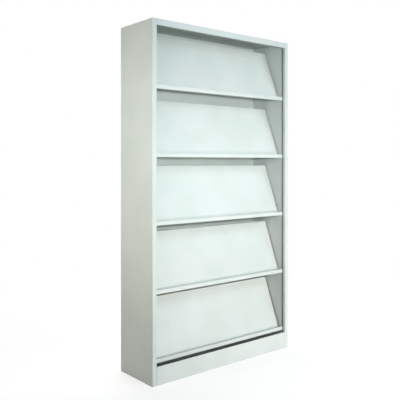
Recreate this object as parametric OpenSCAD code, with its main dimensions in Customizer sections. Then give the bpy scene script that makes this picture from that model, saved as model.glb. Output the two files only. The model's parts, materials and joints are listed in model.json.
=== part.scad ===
// Steel magazine rack: five sloping trays hooked between two folded uprights.
// Units are millimetres. X runs across the front, -Y is the front, Z is up.
// The origin is the middle of the footprint, on the floor.

/* [Body] */
// Overall width
body_w = 1000; // [760:10:1200]
// Overall depth
body_d = 300; // [260:5:400]
// Overall height
body_h = 1850; // [1780:10:2200]
// Thickness of the body sheet
sheet_t = 1; // [0.8:0.1:1.4]
// Inside radius of the press-brake bends
bend_r = 1; // [0.6:0.1:2]

/* [Sides] */
// Width of the flanges turned in along the front and rear edges
flange_w = 26; // [22:1:36]
// Depth of the return behind the front flange
return_d = 18; // [12:1:24]
// Width of the flanges turned in at the top and at the floor
end_flange_w = 22; // [18:1:24]

/* [Liners] */
// Open slit between the front return and the liner
slit_w = 10; // [7:1:16]
// Length of the liner's foot that lies on the side panel
liner_foot_w = 8; // [5:1:12]

/* [Top] */
// Height of the front fascia
fascia_h = 32; // [20:1:60]
// Depth of the fascia's turned-in lower edge
fascia_return_d = 12; // [8:1:20]
// Height of the flange turned down at the rear
top_rear_h = 25; // [16:1:40]

/* [Plinth] */
// Height of the plinth
plinth_h = 96; // [60:1:140]
// Depth of the plinth's floor flange
plinth_foot_d = 22; // [15:1:40]

/* [Base pan] */
// Height of the base pan that closes the bottom
base_pan_h = 25; // [12:1:40]

/* [Back] */
// Distance of the back panel's face from the rear plane
back_set = 24; // [18:1:36]
// Inset of the back panel's rims from the side panels
rim_inset = 13; // [12:1:18]

/* [Trays] */
// Thickness of the tray sheet
tray_t = 1; // [0.8:0.1:1.4]
// Number of trays, one above the other
tray_count = 5; // [5:1:5]
// Clear height between the plinth and the lowest lip
tray_gap = 9; // [4:1:30]
// Lean of the display face from upright, in degrees
tray_lean = 21; // [16:1:26]
// Length of the display face, from ledge to top fold
face_l = 324; // [260:1:330]
// Depth of the ledge, from the lip to the foot of the face
ledge_d = 22; // [16:1:34]
// Height of the front lip
lip_h = 21; // [14:1:30]
// Length of the hem folded down behind the lip
hem_l = 9; // [6:1:12]
// Distance of the lip behind the return's rear edge
lip_clear = 3; // [1:0.5:5]
// Gap between a lip's end and the upright
lip_end_gap = 1; // [0.5:0.5:3]
// Gap between a tray's turned end and the liner
tray_end_gap = 8; // [6:1:24]
// Depth of the ends turned back behind the display face
tray_end_d = 22; // [20:1:28]
// Distance of the turned ends from the foot of the display face
tray_end_low = 10; // [8:1:20]
// Distance of the turned ends from the top of the display face
tray_end_high = 4; // [3:1:10]
// Corner clipped off the turned ends
tray_corner = 5; // [2:1:8]
// Depth of the fold at the top of the face
top_fold_d = 16; // [10:1:24]
// Height of the stiffening return behind that fold
top_fold_h = 10; // [6:1:16]

/* [Hooks] */
// Thickness of a hook lug
hook_t = 2; // [1.5:0.1:3]
// Height of a hook lug
hook_h = 12; // [10:1:16]
// Length of the leg welded to the tray's turned end
hook_leg = 11; // [8:1:12]
// Distance of the hooks behind the display face, which hides them from the front
hook_set = 9; // [6:1:10]
// Drop of the hook's nose behind the liner
hook_drop = 7; // [4:0.5:9]
// Thickness of the nose
nose_t = 2.5; // [2:0.5:4]
// Clearance of a hook in its slot
hook_clear = 0.5; // [0.3:0.1:0.8]
// Gap left under a hook where it sits on the slot's edge
seat_gap = 0.3; // [0.2:0.05:0.4]
// Height above the tray's underside of the lower hooks
low_hook_z = 48; // [44:1:70]
// Distance of the upper hooks below the top of the display face
high_hook_in = 12.5; // [12:0.5:60]

/* [Fasteners] */
// Diameter of the screws
screw_d = 4; // [3:0.5:5]
// Diameter of the pan heads
head_d = 8; // [7:0.5:10]
// Height of the pan heads
head_h = 2.2; // [1.5:0.1:3]
// Width across the flats of the nuts
nut_w = 7; // [6:0.5:8]
// Height of the nuts
nut_h = 3.2; // [2:0.1:5]
// Radial clearance of a screw in its hole
hole_clear = 0.25; // [0.1:0.05:0.4]
// Thread that shows past a nut
screw_tail = 1.5; // [0.5:0.5:4]
// Distance of the front top screws from the front plane
top_screw_front = 50; // [40:5:70]
// Distance of the rear top screws from the back panel
top_screw_rear = 26; // [15:1:50]
// Screws down each rear flange
back_rows = 5; // [2:1:8]
// Distance of the end ones from the floor and from the top
back_screw_end = 60; // [40:5:120]

/* [Hidden] */

// Sheets that only slide past each other at assembly
fit_gap = 0.2;
// Straight steps that draw one bend
bend_steps = 5;
// Radius of a bend's middle line
bend_mid = bend_r + sheet_t / 2;
tray_mid = bend_r + tray_t / 2;
// A hem is folded almost shut
hem_mid = tray_t * 0.75;
plinth_hem_mid = sheet_t * 0.75;
// Straight piece left between the two halves of a hem's bend
hem_flat = 0.05;
// Overrun of a cut past the sheet that it goes through
cut = 1;
// Gap from the side's top and floor flanges to the back panel
flange_gap = 5;
// Play between the threads of a nut and its screw
thread_gap = 0.02;
// Steps that draw the dome of a pan head, and the height of its rim
dome_steps = 5;
rim_h = head_h / 3;
// Lift past the hooks' drop that frees them from their slots
lift_clear = 1;

half_w = body_w / 2;
front_y = -body_d / 2;
rear_y = body_d / 2;
// Inner faces of the side sheets, and the clear half width between the uprights
inner_x = half_w - sheet_t;
open_x = half_w - flange_w;
// The back panel's face towards the trays
back_y = rear_y - back_set;
// The liner's front edge
liner_y = front_y + return_d + slit_w;
top_z = body_h - sheet_t;

// The trays share the height above the lowest lip evenly
tray_base_z = plinth_h + tray_gap;
tray_pitch = (body_h - tray_base_z) / tray_count;
lip_y = front_y + return_d + lip_clear;
lip_x = open_x - lip_end_gap;
tray_x = open_x - tray_end_gap;
// Free height that a hook needs to leave its slot
lift = hook_drop + lift_clear;
// Heights of the hooks above the tray's underside
hook_z = [low_hook_z, face_l * cos(tray_lean) - high_hook_in];

screw_r = screw_d / 2;
hole_r = screw_r + hole_clear;

// Places of the fasteners
top_screw_x = (open_x + half_w) / 2;
top_screw_y = [front_y + top_screw_front, back_y - top_screw_rear];
plinth_screw_y = front_y + (sheet_t + bend_r + return_d) / 2;
plinth_screw_z = [plinth_h / 4, plinth_h * 3 / 4];
back_screw_x = inner_x - rim_inset / 2;
back_screw_step = (body_h - 2 * back_screw_end) / (back_rows - 1);
back_screw_z = [for (i = [0 : back_rows - 1]) back_screw_end + i * back_screw_step];

steel = "#e9eeec";
zinc = "#b9bcbd";

// Folded sheet drawn from the middle line of its section

function unit(v) = v / norm(v);
function left_of(v) = [-v[1], v[0]];
function turned(v, a) = [v[0] * cos(a) - v[1] * sin(a), v[0] * sin(a) + v[1] * cos(a)];

// Points of one bend on one side of the sheet
function bend_points(path, i, side, t, r) =
    let (
        way_in = unit(path[i] - path[i - 1]),
        way_out = unit(path[i + 1] - path[i]),
        turn = atan2(cross(way_in, way_out), way_in * way_out),
        s = sign(turn),
        centre = path[i] - way_in * r * tan(abs(turn) / 2) + s * r * left_of(way_in),
        side_r = r - s * side * t / 2
    )
    [for (k = [0 : bend_steps]) centre - s * side_r * turned(left_of(way_in), turn * k / bend_steps)];

// Points of one side of the sheet, from end to end
function side_points(path, radii, side, t) =
    let (
        last = len(path) - 1,
        start = path[0] + side * t / 2 * left_of(unit(path[1] - path[0])),
        end = path[last] + side * t / 2 * left_of(unit(path[last] - path[last - 1]))
    )
    concat(
        [start],
        [for (i = [1 : last - 1]) each bend_points(path, i, side, t, radii[i - 1])],
        [end]
    );

function reversed(list) = [for (i = [len(list) - 1 : -1 : 0]) list[i]];

module folded(path, radii, t) {
    polygon(concat(side_points(path, radii, 1, t), reversed(side_points(path, radii, -1, t))));
}

// The same radius for every bend of a path
function all_bends(path, r) = [for (i = [1 : len(path) - 2]) r];

// A section in Y and Z, run across the width
module across(half) {
    rotate([90, 0, 90])
        translate([0, 0, -half])
            linear_extrude(2 * half)
                children();
}

// A section in X and Z, run from front to back
module lengthwise(y0, y1) {
    translate([0, y1, 0])
        rotate([90, 0, 0])
            linear_extrude(y1 - y0)
                children();
}

// A section in X and Y, run up the height
module upright(z0, z1) {
    translate([0, 0, z0])
        linear_extrude(z1 - z0)
            children();
}

module block(low, high) {
    translate(low)
        cube(high - low);
}

// Fasteners, drawn with the head's underside at the origin and the shank along -Z

module screw(grip) {
    head_edge = head_d / 2;
    rotate_extrude($fn = 48)
        polygon(concat(
            [[0, -grip], [screw_r, -grip], [screw_r, 0], [head_edge, 0], [head_edge, rim_h]],
            [for (a = [1 : dome_steps]) [
                head_edge * cos(90 * a / dome_steps),
                rim_h + (head_h - rim_h) * sin(90 * a / dome_steps)
            ]]
        ));
}

module nut() {
    difference() {
        cylinder(d = nut_w / cos(30), h = nut_h, $fn = 6);
        translate([0, 0, -cut])
            cylinder(r = screw_r + thread_gap, h = nut_h + 2 * cut, $fn = 48);
    }
}

module hole(depth) {
    translate([0, 0, -depth])
        cylinder(r = hole_r, h = 2 * depth, $fn = 48);
}

// Each fastener place is a frame whose +Z points out of the joint, at the outer sheet's face

module at_top_screws() {
    for (s = [-1, 1], y = top_screw_y)
        translate([s * top_screw_x, y, body_h])
            children();
}

module at_plinth_screws() {
    for (s = [-1, 1], z = plinth_screw_z)
        translate([s * (open_x - sheet_t), plinth_screw_y, z])
            rotate([0, -s * 90, 0])
                children();
}

module at_back_screws() {
    for (s = [-1, 1], z = back_screw_z)
        translate([s * back_screw_x, rear_y, z])
            rotate([-90, 0, 0])
                children();
}

// Hooks: where they sit on a tray, measured from the tray's lip and underside

function tray_z(k) = tray_base_z + (tray_count - k) * tray_pitch;
// Front surface of the display face at a height above the underside
function face_y(z) = ledge_d + (z - tray_t / 2) * tan(tray_lean) - tray_t / 2 / cos(tray_lean);
// Front of a hook's web, behind the display face
function hook_y(z) = face_y(z) + hook_set;

module at_hooks(k) {
    for (s = [-1, 1], z = hook_z)
        mirror([s < 0 ? 1 : 0, 0, 0])
            translate([0, lip_y + hook_y(z), tray_z(k) + z])
                children();
}

// Side panels

module side_sheet() {
    mid = sheet_t / 2;
    path = [
        [open_x + mid, front_y + return_d],
        [open_x + mid, front_y + mid],
        [half_w - mid, front_y + mid],
        [half_w - mid, rear_y - mid],
        [open_x, rear_y - mid]
    ];
    difference() {
        union() {
            upright(0, top_z)
                folded(path, all_bends(path, bend_mid), sheet_t);
            // Flanges under the top panel and on the floor
            for (z = [0, top_z - sheet_t])
                block(
                    [half_w - end_flange_w, front_y + 2 * sheet_t, z],
                    [inner_x + mid, back_y - flange_gap, z + sheet_t]
                );
        }
        at_top_screws()
            hole(3 * sheet_t);
        at_plinth_screws()
            hole(3 * sheet_t);
        at_back_screws()
            hole(3 * sheet_t);
    }
}

module side_right() {
    color(steel)
        side_sheet();
}

module side_left() {
    color(steel)
        mirror([1, 0, 0])
            side_sheet();
}

// Liners: inner side panels that carry the trays in their slots

module liner_sheet() {
    mid = sheet_t / 2;
    path = [
        [inner_x - mid, liner_y - liner_foot_w],
        [inner_x - mid, liner_y + mid],
        [open_x + mid, liner_y + mid],
        [open_x + mid, back_y - mid],
        [inner_x - fit_gap, back_y - mid]
    ];
    difference() {
        upright(sheet_t, top_z - sheet_t)
            folded(path, all_bends(path, bend_mid), sheet_t);
        for (k = [1 : tray_count])
            at_hooks(k)
                block(
                    [open_x - cut, -hook_clear, -hook_h / 2 - seat_gap],
                    [open_x + sheet_t + cut, hook_t + hook_clear, hook_h / 2 + lift + hook_clear]
                );
    }
}

module liner_right() {
    color(steel)
        liner_sheet();
}

module liner_left() {
    color(steel)
        mirror([1, 0, 0])
            liner_sheet();
}

// Top panel with its fascia

module top_panel() {
    mid = sheet_t / 2;
    path = [
        [front_y + fascia_return_d, body_h - fascia_h + mid],
        [front_y + mid, body_h - fascia_h + mid],
        [front_y + mid, body_h - mid],
        [rear_y - mid, body_h - mid],
        [rear_y - mid, body_h - top_rear_h]
    ];
    color(steel)
        difference() {
            union() {
                across(open_x - fit_gap)
                    folded(path, all_bends(path, bend_mid), sheet_t);
                block([-half_w, front_y + bend_mid, top_z], [half_w, rear_y - bend_mid, body_h]);
                // Tongues that cap the front and rear flanges of the sides
                for (s = [-1, 1])
                    block([s > 0 ? open_x : -half_w, front_y, top_z], [s > 0 ? half_w : -open_x, rear_y, body_h]);
            }
            at_top_screws()
                hole(2 * sheet_t);
        }
}

// Back panel, a pan with its rims turned to the rear

module back_panel() {
    mid = sheet_t / 2;
    rim_x = inner_x - rim_inset;
    // The rims stop short of the bend in the side's rear corner
    end_x = inner_x - bend_r - fit_gap;
    path = [
        [end_x, rear_y - sheet_t - mid],
        [rim_x - mid, rear_y - sheet_t - mid],
        [rim_x - mid, back_y + mid],
        [mid - rim_x, back_y + mid],
        [mid - rim_x, rear_y - sheet_t - mid],
        [-end_x, rear_y - sheet_t - mid]
    ];
    color(steel)
        difference() {
            union() {
                upright(0, top_z)
                    folded(path, all_bends(path, bend_mid), sheet_t);
                for (z = [0, top_z - sheet_t])
                    block([-rim_x + sheet_t, back_y + mid, z], [rim_x - sheet_t, rear_y - 2 * sheet_t, z + sheet_t]);
            }
            at_back_screws()
                hole(3 * sheet_t);
        }
}

// Plinth

module plinth() {
    mid = sheet_t / 2;
    hem = 2 * plinth_hem_mid + hem_flat;
    end_x = open_x - fit_gap;
    front_path = [
        [front_y + mid + hem, plinth_h - hem_l],
        [front_y + mid + hem, plinth_h - mid],
        [front_y + mid, plinth_h - mid],
        [front_y + mid, mid],
        [front_y + plinth_foot_d, mid]
    ];
    front_radii = [plinth_hem_mid, plinth_hem_mid, bend_mid];
    end_path = [
        [end_x - mid, front_y + return_d],
        [end_x - mid, front_y + mid],
        [mid - end_x, front_y + mid],
        [mid - end_x, front_y + return_d]
    ];
    color(steel)
        difference() {
            union() {
                across(end_x - bend_mid)
                    folded(front_path, front_radii, sheet_t);
                upright(2 * sheet_t, plinth_h - hem_l)
                    folded(end_path, all_bends(end_path, bend_mid), sheet_t);
            }
            at_plinth_screws()
                hole(2 * sheet_t);
        }
}

// Base pan, with rims that stand on the floor

module base_pan() {
    mid = sheet_t / 2;
    top = base_pan_h - mid;
    half = open_x - fit_gap;
    front = front_y + plinth_foot_d + fit_gap;
    rear = back_y - fit_gap;
    side_path = [[front + mid, 0], [front + mid, top], [rear - mid, top], [rear - mid, 0]];
    front_path = [[mid - half, 0], [mid - half, top], [half - mid, top], [half - mid, 0]];
    color(zinc)
        union() {
            across(half - bend_mid)
                folded(side_path, all_bends(side_path, bend_mid), sheet_t);
            lengthwise(front + bend_mid, rear - bend_mid)
                folded(front_path, all_bends(front_path, bend_mid), sheet_t);
        }
}

// Trays

// Turns a shape drawn along the display face, with its foot at the origin, to the face's lean
module on_face() {
    translate([0, ledge_d, tray_t / 2])
        rotate([-tray_lean, 0, 0])
            children();
}

module tray_sheet() {
    mid = tray_t / 2;
    hem = 2 * hem_mid + hem_flat;
    face_top = [ledge_d + face_l * sin(tray_lean), mid + face_l * cos(tray_lean)];
    lip_path = [
        [mid + hem, lip_h - hem_l],
        [mid + hem, lip_h - mid],
        [mid, lip_h - mid],
        [mid, mid],
        [ledge_d, mid]
    ];
    lip_radii = [hem_mid, hem_mid, tray_mid];
    path = concat(lip_path, [
        face_top,
        face_top + [top_fold_d, 0],
        face_top + [top_fold_d, -top_fold_h]
    ]);
    radii = concat(lip_radii, [tray_mid, tray_mid, tray_mid]);
    end_path = [
        [tray_x - mid, tray_end_d],
        [tray_x - mid, 0],
        [mid - tray_x, 0],
        [mid - tray_x, tray_end_d]
    ];
    end_high = face_l - tray_end_high;
    clip = tray_end_d - tray_corner;
    across(tray_x - 2 * tray_mid)
        folded(path, radii, tray_t);
    across(lip_x)
        folded(lip_path, lip_radii, tray_t);
    // Display face between its turned ends, which are clipped at their rear corners
    on_face()
        intersection() {
            upright(tray_end_low, end_high)
                folded(end_path, all_bends(end_path, tray_mid), tray_t);
            across(tray_x + cut)
                polygon([
                    [-mid - cut, tray_end_low],
                    [clip, tray_end_low],
                    [tray_end_d, tray_end_low + tray_corner],
                    [tray_end_d, end_high - tray_corner],
                    [clip, end_high],
                    [-mid - cut, end_high]
                ]);
        }
}

module tray(k) {
    color(steel)
        translate([0, lip_y, tray_z(k)])
            tray_sheet();
}

module tray_1() { tray(1); }
module tray_2() { tray(2); }
module tray_3() { tray(3); }
module tray_4() { tray(4); }
module tray_5() { tray(5); }

// Hook lugs, welded to the turned ends, whose noses drop behind the liners

module hook_lug() {
    mid = hook_t / 2;
    nose_x = open_x + sheet_t + hook_clear;
    path = [
        [tray_x + mid, hook_leg],
        [tray_x + mid, mid],
        [nose_x + nose_t, mid]
    ];
    upright(-hook_h / 2, hook_h / 2)
        folded(path, [hook_t], hook_t);
    block([nose_x, 0, -hook_h / 2 - hook_drop], [nose_x + nose_t, hook_t, 0]);
}

module hooks(k) {
    color(steel)
        at_hooks(k)
            hook_lug();
}

module hooks_1() { hooks(1); }
module hooks_2() { hooks(2); }
module hooks_3() { hooks(3); }
module hooks_4() { hooks(4); }
module hooks_5() { hooks(5); }

// Screws and nuts

module top_screws() {
    color(zinc)
        at_top_screws()
            screw(2 * sheet_t + nut_h + screw_tail);
}

module top_nuts() {
    color(zinc)
        at_top_screws()
            translate([0, 0, -2 * sheet_t - nut_h])
                nut();
}

module plinth_screws() {
    color(zinc)
        at_plinth_screws()
            translate([0, 0, fit_gap])
                screw(2 * sheet_t + fit_gap + nut_h + screw_tail);
}

module plinth_nuts() {
    color(zinc)
        at_plinth_screws()
            translate([0, 0, -2 * sheet_t - nut_h])
                nut();
}

module back_screws() {
    color(zinc)
        at_back_screws()
            screw(2 * sheet_t + nut_h + screw_tail);
}

module back_nuts() {
    color(zinc)
        at_back_screws()
            translate([0, 0, -2 * sheet_t - nut_h])
                nut();
}

side_left();
side_right();
liner_left();
liner_right();
top_panel();
back_panel();
plinth();
base_pan();
tray_1();
tray_2();
tray_3();
tray_4();
tray_5();
hooks_1();
hooks_2();
hooks_3();
hooks_4();
hooks_5();
top_screws();
top_nuts();
plinth_screws();
plinth_nuts();
back_screws();
back_nuts();
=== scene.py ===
import json
import math

import bpy
from mathutils import Matrix, Vector


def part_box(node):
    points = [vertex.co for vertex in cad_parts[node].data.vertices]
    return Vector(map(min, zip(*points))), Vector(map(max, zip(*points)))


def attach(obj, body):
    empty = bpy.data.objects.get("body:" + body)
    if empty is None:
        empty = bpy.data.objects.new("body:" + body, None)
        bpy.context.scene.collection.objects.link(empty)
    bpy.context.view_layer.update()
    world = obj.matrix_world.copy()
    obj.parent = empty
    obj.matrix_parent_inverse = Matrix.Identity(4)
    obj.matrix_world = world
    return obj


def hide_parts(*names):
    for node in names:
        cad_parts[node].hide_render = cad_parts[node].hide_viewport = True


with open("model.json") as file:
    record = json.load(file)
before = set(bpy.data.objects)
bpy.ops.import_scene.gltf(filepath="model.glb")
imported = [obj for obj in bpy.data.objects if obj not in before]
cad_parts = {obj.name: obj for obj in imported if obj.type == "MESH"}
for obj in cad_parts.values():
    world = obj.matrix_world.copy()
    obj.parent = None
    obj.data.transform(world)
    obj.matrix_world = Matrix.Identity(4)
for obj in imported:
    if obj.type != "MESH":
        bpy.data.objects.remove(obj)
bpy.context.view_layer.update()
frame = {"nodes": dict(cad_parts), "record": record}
mm = 0.001
print("frame loaded:", len(frame["nodes"]), "nodes")


# Small helpers

def linear(hexColour):
    channels = [int(hexColour[i:i + 2], 16) / 255 for i in (1, 3, 5)]
    return [c / 12.92 if c <= 0.04045 else ((c + 0.055) / 1.055) ** 2.4 for c in channels] + [1.0]


def newMaterial(name):
    material = bpy.data.materials.new(name)
    material.use_nodes = True
    material.node_tree.nodes.clear()
    return material


# Adds a node to a material or the world, sets its options, and fills its sockets with values or links
def addNode(owner, kind, options=None, inputs=None):
    node = owner.node_tree.nodes.new(kind)
    for key, value in (options or {}).items():
        setattr(node, key, value)
    for key, value in (inputs or {}).items():
        if isinstance(value, bpy.types.NodeSocket):
            owner.node_tree.links.new(value, node.inputs[key])
        else:
            node.inputs[key].default_value = value
    return node


# The sockets of a Map Range node that takes one span of values to another
def spans(before, after):
    return {"From Min": before[0], "From Max": before[1], "To Min": after[0], "To Max": after[1]}


# Sets the two stops of a colour ramp
def setStops(ramp, places, hexColours):
    for element, place, hexColour in zip(ramp.color_ramp.elements, places, hexColours):
        element.position = place
        element.color = linear(hexColour)


def deselectAll():
    bpy.ops.object.select_all(action="DESELECT")


# Camera

camera = {
    "place": (-2.1571, -2.5365, 1.1254),    # metres, from the middle of the rack's footprint
    "turn": 39.453,                          # degrees to the right of straight ahead
    "focal": 579.4,                          # in pixels of the 400-pixel frame
    "horizon": 162.28,                       # pixel row of eye level
    "frameSize": 400,
    "sensor": 36.0,                          # mm
    "farClip": 60.0,                         # metres
}


def makeCamera():
    data = bpy.data.cameras.new("photoCamera")
    data.sensor_width = camera["sensor"]
    data.lens = camera["focal"] / camera["frameSize"] * camera["sensor"]
    data.shift_y = (camera["horizon"] - camera["frameSize"] / 2) / camera["frameSize"]
    data.clip_end = camera["farClip"]
    eye = bpy.data.objects.new("photoCamera", data)
    bpy.context.scene.collection.objects.link(eye)
    eye.location = camera["place"]
    eye.rotation_euler = (math.radians(90), 0, -math.radians(camera["turn"]))
    bpy.context.scene.camera = eye


makeCamera()
print("camera placed")


# Materials

# Nearly all of a noise lies between these levels
noiseSpan = (0.3, 0.7)

powderCoat = {
    "colour": "#cdd3cf",          # pale cool grey with a touch of green
    "driftColour": "#c8cfca",     # where the coat lies thinner
    "driftSpan": (0.38, 0.62),    # levels of the drift between which the one turns into the other
    # mm from crest to crest, octaves and roughness of each noise
    "drift": (180.0, 2.0, 0.5),   # slow change of thickness over a sheet
    "speck": (5.0, 3.0, 0.6),     # faint mottle of the pigment
    "peel": (2.6, 1.0, 0.4),      # orange peel, drawn twice as coarse to show
    "speckStrength": 0.05,
    "peelDepth": 0.02,            # mm
    "peelStrength": 0.5,
    "roughness": (0.4, 0.52),     # least and most, following the drift
    "ior": 1.5,                   # of polyester
}

# The space inside the two uprights, mm from the middle of the rack; shade is painted into the coat's
# colour in there
hollow = {
    "middle": (0.0, 0.0, 925.0),
    "inner": (476.0, 478.0),      # between these the painted shade sets in
    "outer": (499.5, 148.5, 923.4),
    "share": 0.16,                # how much of the coat's colour the painted shade leaves in there
}


# Painted shade: the coat's colour is darkened inside the uprights, so what shows through their slits
# looks as if it were in shadow.
# Gives the share of the coat's colour: 1 outside the hollows
def paintedHollowShade(material, place):
    centred = addNode(material, "ShaderNodeVectorMath", {"operation": "SUBTRACT"},
                      {0: place, 1: [level * mm for level in hollow["middle"]]}).outputs["Vector"]
    reach = addNode(material, "ShaderNodeVectorMath", {"operation": "ABSOLUTE"}, {0: centred})
    axes = addNode(material, "ShaderNodeSeparateXYZ", inputs={"Vector": reach.outputs["Vector"]})
    shading = spans([level * mm for level in hollow["inner"]], (1.0, hollow["share"]))
    unshaded = addNode(material, "ShaderNodeMapRange",
                    inputs={"Value": axes.outputs["X"], **shading}).outputs["Result"]
    for axis, limit in zip("XYZ", hollow["outer"]):
        beyond = addNode(material, "ShaderNodeMath", {"operation": "GREATER_THAN"},
                         {0: axes.outputs[axis], 1: limit * mm}).outputs[0]
        unshaded = addNode(material, "ShaderNodeMath", {"operation": "MAXIMUM"},
                        {0: unshaded, 1: beyond}).outputs[0]
    return unshaded


# Polyester powder coat, sprayed dry and baked: satin, even, with a fine orange peel that softens
# reflections
def makePowderCoat(name, shadesHollow):
    coat = powderCoat
    material = newMaterial(name)
    place = addNode(material, "ShaderNodeTexCoord").outputs["Object"]
    noise = {}
    for pattern in ("drift", "speck", "peel"):
        size, octaves, roughness = coat[pattern]
        noise[pattern] = addNode(material, "ShaderNodeTexNoise", inputs={
            "Vector": place, "Scale": 1 / (size * mm), "Detail": octaves, "Roughness": roughness,
        }).outputs["Fac"]
    tone = addNode(material, "ShaderNodeValToRGB", inputs={"Fac": noise["drift"]})
    setStops(tone, coat["driftSpan"], (coat["driftColour"], coat["colour"]))
    shade = addNode(material, "ShaderNodeMapRange", inputs={
        "Value": noise["speck"], **spans(noiseSpan, (1 - coat["speckStrength"], 1.0))}).outputs["Result"]
    # the uprights' coat gets painted shade in their hollows
    if shadesHollow:
        shade = addNode(material, "ShaderNodeMath", {"operation": "MULTIPLY"},
                        {0: shade, 1: paintedHollowShade(material, place)}).outputs[0]
    mottled = addNode(material, "ShaderNodeVectorMath", {"operation": "SCALE"},
                      {"Vector": tone.outputs["Color"], "Scale": shade})
    gloss = addNode(material, "ShaderNodeMapRange",
                    inputs={"Value": noise["drift"], **spans(noiseSpan, coat["roughness"])})
    bump = addNode(material, "ShaderNodeBump", inputs={
        "Strength": coat["peelStrength"], "Distance": coat["peelDepth"] * mm, "Height": noise["peel"]})
    shader = addNode(material, "ShaderNodeBsdfPrincipled", inputs={
        "Base Color": mottled.outputs["Vector"], "Roughness": gloss.outputs["Result"],
        "IOR": coat["ior"], "Normal": bump.outputs["Normal"]})
    addNode(material, "ShaderNodeOutputMaterial", inputs={"Surface": shader.outputs["BSDF"]})
    return material


galvanised = {
    "colours": ("#b4b8b8", "#cccfcf"),   # of the darkest and the lightest crystals
    "metallic": 0.3,              # the dull grey oxide hides most of the metal
    "spangleSize": 11.0,          # mm across one zinc crystal
    "roughness": (0.42, 0.6),     # of the glossiest and the dullest crystals
}


# Hot-dip galvanised sheet: dull zinc crystals, each catching the light a little differently
def makeGalvanised():
    zinc = galvanised
    material = newMaterial("galvanisedSheet")
    place = addNode(material, "ShaderNodeTexCoord").outputs["Object"]
    spangle = addNode(material, "ShaderNodeTexVoronoi",
                      inputs={"Vector": place, "Scale": 1 / (zinc["spangleSize"] * mm)})
    crystal = addNode(material, "ShaderNodeSeparateColor", inputs={"Color": spangle.outputs["Color"]})
    tone = addNode(material, "ShaderNodeValToRGB", inputs={"Fac": crystal.outputs["Red"]})
    setStops(tone, (0.0, 1.0), zinc["colours"])
    gloss = addNode(material, "ShaderNodeMapRange",
                    inputs={"Value": crystal.outputs["Green"], **spans((0.0, 1.0), zinc["roughness"])})
    shader = addNode(material, "ShaderNodeBsdfPrincipled", inputs={
        "Base Color": tone.outputs["Color"], "Metallic": zinc["metallic"],
        "Roughness": gloss.outputs["Result"]})
    addNode(material, "ShaderNodeOutputMaterial", inputs={"Surface": shader.outputs["BSDF"]})
    return material


zincPlate = {
    "colour": "#c6c9c8",
    "tint": "#b8bcae",            # faint yellow-green of the passivation
    "tintSpan": (0.35, 0.65),     # levels of the cloud between which the one turns into the other
    "tintSize": 6.0,              # mm
    "tintDetail": 2.0,
    "roughness": (0.26, 0.38),    # least and most, following the cloud
    "grainSize": 0.5,             # mm, turning marks
    "grainDetail": 1.0,
    "grainDepth": 0.01,           # mm
    "grainStrength": 0.4,
}


# Bright zinc plate on turned steel: light grey metal with a faint passivated tint
def makeZincPlate():
    plate = zincPlate
    material = newMaterial("brightZincPlate")
    place = addNode(material, "ShaderNodeTexCoord").outputs["Object"]
    cloud = addNode(material, "ShaderNodeTexNoise", inputs={
        "Vector": place, "Scale": 1 / (plate["tintSize"] * mm), "Detail": plate["tintDetail"]})
    grain = addNode(material, "ShaderNodeTexNoise", inputs={
        "Vector": place, "Scale": 1 / (plate["grainSize"] * mm), "Detail": plate["grainDetail"]})
    tone = addNode(material, "ShaderNodeValToRGB", inputs={"Fac": cloud.outputs["Fac"]})
    setStops(tone, plate["tintSpan"], (plate["tint"], plate["colour"]))
    gloss = addNode(material, "ShaderNodeMapRange",
                    inputs={"Value": cloud.outputs["Fac"], **spans(noiseSpan, plate["roughness"])})
    bump = addNode(material, "ShaderNodeBump", inputs={
        "Strength": plate["grainStrength"], "Distance": plate["grainDepth"] * mm,
        "Height": grain.outputs["Fac"]})
    shader = addNode(material, "ShaderNodeBsdfPrincipled", inputs={
        "Base Color": tone.outputs["Color"], "Metallic": 1.0, "Roughness": gloss.outputs["Result"],
        "Normal": bump.outputs["Normal"]})
    addNode(material, "ShaderNodeOutputMaterial", inputs={"Surface": shader.outputs["BSDF"]})
    return material


finishes = {
    "powder_coat": makePowderCoat("satinPowderCoat", False),
    # the same coat, with painted shade inside the uprights
    "uprights": makePowderCoat("satinPowderCoatUprightsPaintedShade", True),
    "galvanised": makeGalvanised(),
    "zinc_fasteners": makeZincPlate(),
}
uprightNodes = ("side_left", "side_right", "liner_left", "liner_right")
slotOf = {part["node"]: part["material_slot"] for part in frame["record"]["subparts"]}


def giveFinish(piece, finishName):
    piece.data.materials.clear()
    piece.data.materials.append(finishes[finishName])


for nodeName, piece in frame["nodes"].items():
    giveFinish(piece, "uprights" if nodeName in uprightNodes else slotOf[nodeName])
print("finishes given to", len(frame["nodes"]), "nodes")


# Fasteners

# Sizes in mm
screw = {
    "radius": 2.0,                # over the thread
    "coreRadius": 1.62,
    "pitch": 0.7,
    "ridgeShare": 0.94,           # how much of the pitch the foot of the thread takes up
    "ridgeSink": 0.1,             # how deep that foot lies in the core
    "headRadius": 4.0,
    "headHeight": 2.2,
    "rimHeight": 0.73,            # straight part of the head's edge
    "domeAngles": (20, 40, 60, 80),   # degrees, corners of the dome above it
    "tipChamfer": 0.4,
    "crossLength": 5.8,           # cross recess, at the top of the head
    "crossWidth": 1.35,
    "crossDepth": 1.3,
    "crossTaper": 0.5,            # its width at the bottom, as a share
    "plinthLength": 6.9,          # from the underside of a plinth screw's head to its tip
    "steps": 32,                  # round the head and the thread
}

nut = {
    "width": 7.0,                 # across the flats
    "height": 3.2,
    "boreRadius": 2.02,
    "faceRadius": 3.3,            # flat ring left by the chamfer
    "chamferRise": 0.45,
    "chamferSpare": 0.2,          # how far the chamfering shape stands past the corners
    "countersink": 0.3,
    "steps": 32,
}

fastening = {
    "backRows": 5,                # screws up each side of the back panel
    "mergeGap": 0.002,            # mm; points closer than this are one
    "smoothAngle": 32.0,          # degrees; flatter edges are shaded smooth
    "spareTurn": 0.01,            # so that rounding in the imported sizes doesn't cost a turn of thread
}


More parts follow.
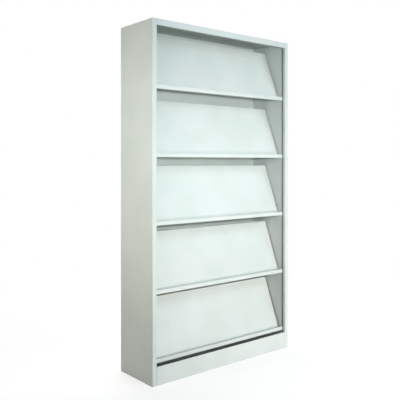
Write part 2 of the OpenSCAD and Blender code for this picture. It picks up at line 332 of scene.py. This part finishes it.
# Draws a line through (radius, height) points in mm, by extruding a plane that is merged to one
# point, and leaves it selected in edit mode
def drawLine(name, points):
    deselectAll()
    bpy.ops.mesh.primitive_plane_add(size=mm, location=(0, 0, 0))
    piece = bpy.context.active_object
    piece.name = name
    bpy.ops.object.mode_set(mode="EDIT")
    bpy.ops.mesh.merge(type="CENTER")
    bpy.ops.transform.translate(value=(points[0][0] * mm, 0, points[0][1] * mm))
    for (radius, height), (nextRadius, nextHeight) in zip(points, points[1:]):
        step = ((nextRadius - radius) * mm, 0, (nextHeight - height) * mm)
        bpy.ops.mesh.extrude_vertices_move(TRANSFORM_OT_translate={"value": step})
    bpy.ops.mesh.select_all(action="SELECT")
    return piece


def mergeDoubles():
    bpy.ops.mesh.select_all(action="SELECT")
    bpy.ops.mesh.remove_doubles(threshold=fastening["mergeGap"] * mm)


# Merges doubles, turns all faces outwards and leaves edit mode
def finishMesh():
    mergeDoubles()
    bpy.ops.mesh.normals_make_consistent(inside=False)
    bpy.ops.object.mode_set(mode="OBJECT")


# Spins a line round the Z axis
def spinLine(name, points, steps):
    piece = drawLine(name, points)
    bpy.ops.mesh.spin(steps=steps, angle=math.tau, center=(0, 0, 0), axis=(0, 0, 1))
    finishMesh()
    return piece


def makeActive(piece):
    deselectAll()
    piece.select_set(True)
    bpy.context.view_layer.objects.active = piece


def applyBoolean(piece, tool, operation):
    makeActive(piece)
    cut = piece.modifiers.new("cut", "BOOLEAN")
    cut.operation = operation
    cut.solver = "EXACT"
    cut.object = tool
    bpy.ops.object.modifier_apply(modifier=cut.name)
    bpy.data.objects.remove(tool)


def joinPieces(pieces, name):
    makeActive(pieces[0])
    for piece in pieces:
        piece.select_set(True)
    bpy.ops.object.join()
    joined = bpy.context.active_object
    joined.name = name
    return joined


# One arm of the cross recess, along X or turned along Y, tapered towards its bottom. Its upper half
# stands above the head
def makeCrossArm(turned):
    long, wide, deep = (screw[size] * mm for size in ("crossLength", "crossWidth", "crossDepth"))
    top = screw["headHeight"] * mm
    deselectAll()
    bpy.ops.mesh.primitive_cube_add(size=1, location=(0, 0, top), scale=(
        (wide, long, 2 * deep) if turned else (long, wide, 2 * deep)))
    tool = bpy.context.active_object
    bpy.ops.object.transform_apply(location=True, rotation=True, scale=True)
    for vertex in tool.data.vertices:
        vertex.select = vertex.co.z < top
    bpy.ops.object.mode_set(mode="EDIT")
    bpy.ops.transform.resize(value=(screw["crossTaper"], screw["crossTaper"], 1),
                             center_override=(0, 0, 0))
    bpy.ops.object.mode_set(mode="OBJECT")
    return tool


# The ridge of the thread: a thin wedge run down the shank by a Screw modifier
def makeThread(length):
    foot, crest = screw["coreRadius"] - screw["ridgeSink"], screw["radius"]
    rise = screw["pitch"] * screw["ridgeShare"]
    threaded = length - screw["tipChamfer"]
    turns = int(threaded / screw["pitch"] + fastening["spareTurn"])
    top = turns * screw["pitch"] - threaded
    ridge = drawLine("thread", [(foot, top), (crest, top - rise / 2), (foot, top - rise), (foot, top)])
    mergeDoubles()
    bpy.ops.object.mode_set(mode="OBJECT")
    winding = ridge.modifiers.new("winding", "SCREW")
    winding.screw_offset = -screw["pitch"] * mm
    winding.iterations = turns
    winding.steps = winding.render_steps = screw["steps"]
    bpy.ops.object.modifier_apply(modifier=winding.name)
    bpy.ops.object.mode_set(mode="EDIT")
    bpy.ops.mesh.select_all(action="SELECT")
    bpy.ops.mesh.fill_holes(sides=3)    # the thread's two open ends
    finishMesh()
    return ridge


# A screw with the underside of its head at the origin and its shank along -Z
def makeScrew(length):
    head, height, rim = screw["headRadius"], screw["headHeight"], screw["rimHeight"]
    core, chamfer = screw["coreRadius"], screw["tipChamfer"]
    outline = [(0, -length), (core - chamfer, -length), (core, chamfer - length),
               (core, 0), (head, 0), (head, rim)]
    for angle in screw["domeAngles"]:
        turn = math.radians(angle)
        outline.append((head * math.cos(turn), rim + (height - rim) * math.sin(turn)))
    outline.append((0, height))
    body = spinLine("screwBody", outline, screw["steps"])
    for turned in (False, True):
        applyBoolean(body, makeCrossArm(turned), "DIFFERENCE")
    return joinPieces([body, makeThread(length)], "screw")


# A hexagon nut with its upper face at the origin
def makeNut():
    height, face, rise = nut["height"], nut["faceRadius"], nut["chamferRise"]
    sixth = math.radians(60)
    corner = nut["width"] / 2 / math.cos(sixth / 2)
    deselectAll()
    bpy.ops.mesh.primitive_cylinder_add(vertices=6, radius=corner * mm, depth=height * mm,
                                        location=(0, 0, -height / 2 * mm), rotation=(0, 0, sixth / 2))
    body = bpy.context.active_object
    bpy.ops.object.transform_apply(location=True, rotation=True, scale=True)
    past = corner + nut["chamferSpare"]
    chamfer = [(0, -height), (face, -height), (past, rise - height), (past, -rise), (face, 0), (0, 0)]
    applyBoolean(body, spinLine("nutChamfer", chamfer, nut["steps"]), "INTERSECT")
    bore, sink = nut["boreRadius"], nut["countersink"]
    mouth = bore + 2 * sink
    drilled = [(0, -height - sink), (mouth, -height - sink), (bore, sink - height),
               (bore, -sink), (mouth, sink), (0, sink)]
    applyBoolean(body, spinLine("nutBore", drilled, nut["steps"]), "DIFFERENCE")
    return body


quarterTurn = math.radians(90)

# Turns that bring a fastener's +Z to the way its head faces
headWays = {
    "up": Matrix.Identity(4),
    "rear": Matrix.Rotation(-quarterTurn, 4, "X"),
    "left": Matrix.Rotation(-quarterTurn, 4, "Y"),
    "right": Matrix.Rotation(quarterTurn, 4, "Y"),
}


# Copies a fastener to its places, joins the copies and lets them stand for the CAD node
def placeFasteners(pattern, places, nodeName, pieceName):
    copies = []
    for point, way in places:
        copy = pattern.copy()
        copy.data = pattern.data.copy()
        bpy.context.scene.collection.objects.link(copy)
        copy.matrix_world = Matrix.Translation(point) @ headWays[way]
        copies.append(copy)
    joined = joinPieces(copies, pieceName)
    bpy.ops.object.transform_apply(location=True, rotation=True, scale=True)
    bpy.ops.object.shade_smooth_by_angle(angle=math.radians(fastening["smoothAngle"]))
    giveFinish(joined, "zinc_fasteners")
    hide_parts(nodeName)
    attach(joined, "carcass")


# Where the first and the last screw of a box sit along one axis
def endScrews(low, high, axis):
    head = screw["headRadius"] * mm
    return low[axis] + head, high[axis] - head


# Each set of fasteners follows from the boxes of its CAD screws and nuts. It has the points under
# the screws' heads with the ways they face, the screws' length in mm, and their nuts' upper faces,
# as an axis and how far along it they lie
def topSet():
    low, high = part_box("top_screws")
    seat = high[2] - screw["headHeight"] * mm
    places = [((x, y, seat), "up") for x in endScrews(low, high, 0) for y in endScrews(low, high, 1)]
    return {"places": places, "length": (seat - low[2]) / mm,
            "nutAxis": 2, "nutSeat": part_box("top_nuts")[1][2]}


def backSet():
    low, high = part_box("back_screws")
    seat = high[1] - screw["headHeight"] * mm
    bottom, top = endScrews(low, high, 2)
    rows = [bottom + (top - bottom) * row / (fastening["backRows"] - 1)
            for row in range(fastening["backRows"])]
    places = [((x, seat, z), "rear") for x in endScrews(low, high, 0) for z in rows]
    return {"places": places, "length": (seat - low[1]) / mm,
            "nutAxis": 1, "nutSeat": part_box("back_nuts")[1][1]}


# The plinth's screws are put in from between the uprights, so their heads face the middle
def plinthSet():
    low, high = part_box("plinth_screws")
    seat = high[0] - screw["plinthLength"] * mm
    middle = (low[1] + high[1]) / 2
    places = [((side * seat, middle, z), way) for side, way in ((-1, "right"), (1, "left"))
              for z in endScrews(low, high, 2)]
    return {"places": places, "length": screw["plinthLength"],
            "nutAxis": 0, "nutSeat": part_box("plinth_nuts")[1][0] - nut["height"] * mm}


# The screws' places, moved along the screws to the nuts' upper faces
def nutPlaces(group):
    axis, moved = group["nutAxis"], []
    for point, way in group["places"]:
        seat = list(point)
        seat[axis] = math.copysign(group["nutSeat"], point[axis])
        moved.append((seat, way))
    return moved


def makeFasteners():
    groups = {"plinth": plinthSet(), "top": topSet(), "back": backSet()}
    for where, group in groups.items():
        pattern = makeScrew(group["length"])
        placeFasteners(pattern, group["places"], where + "_screws", where + "Screws")
        bpy.data.objects.remove(pattern)
    pattern = makeNut()
    for where in ("top", "back", "plinth"):
        placeFasteners(pattern, nutPlaces(groups[where]), where + "_nuts", where + "Nuts")
    bpy.data.objects.remove(pattern)


makeFasteners()
print("fasteners made")


# Studio

studio = {
    "floorSize": 60.0,            # metres
    "floorLevel": 0.755,          # share of the white that the lamps don't make
    "floorShadow": 0.3,           # share that they do, near the rack
    "shadowReach": (0.9, 2.6),    # metres from the rack's middle where the shadow starts to fade and ends
    "floorBounce": ("#d0d0ce", "#505250"),   # what it throws back on to the rack, near by and far off
    "bounceReach": (0.5, 1.4),    # metres from the rack's middle where near by ends and far off starts
    "worldColour": "#f6f2ea",
    "worldStrength": 0.02,
    "backdropColour": "#ffffff",
    "coneBlend": 1.0,             # the lamps' cones fade all the way from their middle
}

aboveCamera = (-2.157, -2.537, 1.241)

# Places and sizes in metres, cones in degrees, power in watts
lamps = {
    # a beam on the middle of the rack
    "keyLamp": {"place": aboveCamera, "aim": (0.1, -0.1, 1.0), "cone": 36.0, "radius": 0.05,
                "power": 146.0, "colour": "#fefdf8"},
    # the same, on the upper trays
    "upperKeyLamp": {"place": aboveCamera, "aim": (0.1, -0.1, 1.5), "cone": 36.0, "radius": 0.05,
                     "power": 86.0, "colour": "#d3f1ff"},
    # straight in front, a little above the camera's height
    "frontLamp": {"place": (0, -3.2, 1.3), "aim": (0, 0, 1.0), "cone": 140.0, "radius": 0.15,
                  "power": 146.0, "colour": "#f8fffe"},
    # in front near the floor, for the plinth and the lower lips
    "lowLamp": {"place": (0.5, -2.4, 0.3), "aim": (0.2, -0.15, 0.3), "cone": 70.0, "radius": 0.25,
                "power": 132.0, "colour": "#fef6f3"},
    # on the fascia
    "fasciaLamp": {"place": (1.2, -3.0, 1.9), "aim": (0.2, -0.15, 1.8), "cone": 40.0, "radius": 0.25,
                   "power": 108.0, "colour": "#fce8df"},
    # on the left side panel, fading towards the floor
    "sideLamp": {"place": (-3.5, 0.5, 1.5), "aim": (-0.5, 0, 1.15), "cone": 60.0, "radius": 0.5,
                 "power": 268.0, "colour": "#fefdf0"},
    # soft fill from the left and from high on the right
    "leftLamp": {"place": (-3.411, -1.97, 1.645), "aim": (0.1, -0.1, 1.0), "cone": 54.0, "radius": 0.5,
                 "power": 70.0, "colour": "#feebf7"},
    "highSoftbox": {"place": (1.87, -2.99, 2.83), "aim": (0, 0, 0.95), "size": (1.4, 1.4),
                    "power": 44.0, "colour": "#ccf0ff"},
    # for the back, the top and the right side
    "rearSoftbox": {"place": (1.2, 3.7, 2.0), "aim": (0, 0.15, 1.0), "size": (2.0, 2.0),
                    "power": 105.0, "colour": "#ffffff"},
    "topSoftbox": {"place": (0.3, 1.0, 3.8), "aim": (0, 0.1, 1.85), "size": (1.6, 1.6),
                   "power": 42.0, "colour": "#ffffff"},
    "rightSoftbox": {"place": (3.6, 0.9, 1.7), "aim": (0.5, 0, 1.0), "size": (1.6, 1.6),
                     "power": 58.0, "colour": "#ffffff"},
}


# 1 to the camera, directly, in a reflection or through glass, and 0 to other light
def isSeen(owner):
    path = addNode(owner, "ShaderNodeLightPath")
    seen = path.outputs["Is Camera Ray"]
    for ray in ("Is Glossy Ray", "Is Transmission Ray"):
        seen = addNode(owner, "ShaderNodeMath", {"operation": "MAXIMUM"},
                       {0: seen, 1: path.outputs[ray]}).outputs[0]
    return seen


# White to the camera, with the rack's shadow on it; a dull grey to the light that it throws back
def makeFloorFinish():
    material = newMaterial("paleFloor")
    place = addNode(material, "ShaderNodeTexCoord").outputs["Object"]
    reach = addNode(material, "ShaderNodeVectorMath", {"operation": "LENGTH"},
                    {"Vector": place}).outputs["Value"]
    near = addNode(material, "ShaderNodeMapRange", {"interpolation_type": "SMOOTHSTEP"},
                   {"Value": reach, **spans(studio["shadowReach"], (1.0, 0.0))}).outputs["Result"]
    glow = addNode(material, "ShaderNodeMapRange",
                   inputs={"Value": near, **spans((0.0, 1.0), (1.0, studio["floorLevel"]))})
    share = addNode(material, "ShaderNodeMapRange",
                    inputs={"Value": near, **spans((0.0, 1.0), (0.0, studio["floorShadow"]))})
    white = addNode(material, "ShaderNodeEmission", inputs={"Strength": glow.outputs["Result"]})
    lit = addNode(material, "ShaderNodeBsdfDiffuse", inputs={"Color": share.outputs["Result"]})
    shown = addNode(material, "ShaderNodeAddShader", inputs={0: white.outputs[0], 1: lit.outputs[0]})
    fade = addNode(material, "ShaderNodeMapRange",
                   inputs={"Value": reach, **spans(studio["bounceReach"], (0.0, 1.0))})
    bounce = addNode(material, "ShaderNodeValToRGB", inputs={"Fac": fade.outputs["Result"]})
    setStops(bounce, (0.0, 1.0), studio["floorBounce"])
    dull = addNode(material, "ShaderNodeBsdfDiffuse", inputs={"Color": bounce.outputs["Color"]})
    both = addNode(material, "ShaderNodeMixShader",
                   inputs={0: isSeen(material), 1: dull.outputs[0], 2: shown.outputs[0]})
    addNode(material, "ShaderNodeOutputMaterial", inputs={"Surface": both.outputs[0]})
    return material


def makeFloor():
    deselectAll()
    bpy.ops.mesh.primitive_plane_add(size=studio["floorSize"], location=(0, 0, 0))
    floor = bpy.context.active_object
    floor.name = "studioFloor"
    floor.data.materials.append(makeFloorFinish())


# White to the camera, and a faint warm light to the rack
def makeWorld():
    world = bpy.data.worlds.new("studioWorld")
    bpy.context.scene.world = world
    world.use_nodes = True
    world.node_tree.nodes.clear()
    ambient = addNode(world, "ShaderNodeBackground", inputs={
        "Color": linear(studio["worldColour"]), "Strength": studio["worldStrength"]})
    backdrop = addNode(world, "ShaderNodeBackground",
                       inputs={"Color": linear(studio["backdropColour"])})
    both = addNode(world, "ShaderNodeMixShader",
                   inputs={0: isSeen(world), 1: ambient.outputs[0], 2: backdrop.outputs[0]})
    addNode(world, "ShaderNodeOutputWorld", inputs={"Surface": both.outputs[0]})


# A spot where the lamp has a cone, else a softbox
def makeLamp(name):
    lamp = lamps[name]
    data = bpy.data.lights.new(name, "SPOT" if "cone" in lamp else "AREA")
    if "cone" in lamp:
        data.spot_size = math.radians(lamp["cone"])
        data.spot_blend = studio["coneBlend"]
        data.shadow_soft_size = lamp["radius"]
    else:
        data.shape = "RECTANGLE"
        data.size, data.size_y = lamp["size"]
    data.energy = lamp["power"]
    data.color = linear(lamp["colour"])[:3]
    holder = bpy.data.objects.new(name, data)
    bpy.context.scene.collection.objects.link(holder)
    holder.location = lamp["place"]
    aim = Vector(lamp["aim"]) - Vector(lamp["place"])
    holder.rotation_euler = aim.to_track_quat("-Z", "Y").to_euler()


makeFloor()
makeWorld()
for lampName in lamps:
    makeLamp(lampName)
bpy.context.scene.view_settings.view_transform = "Standard"
print("studio lit")
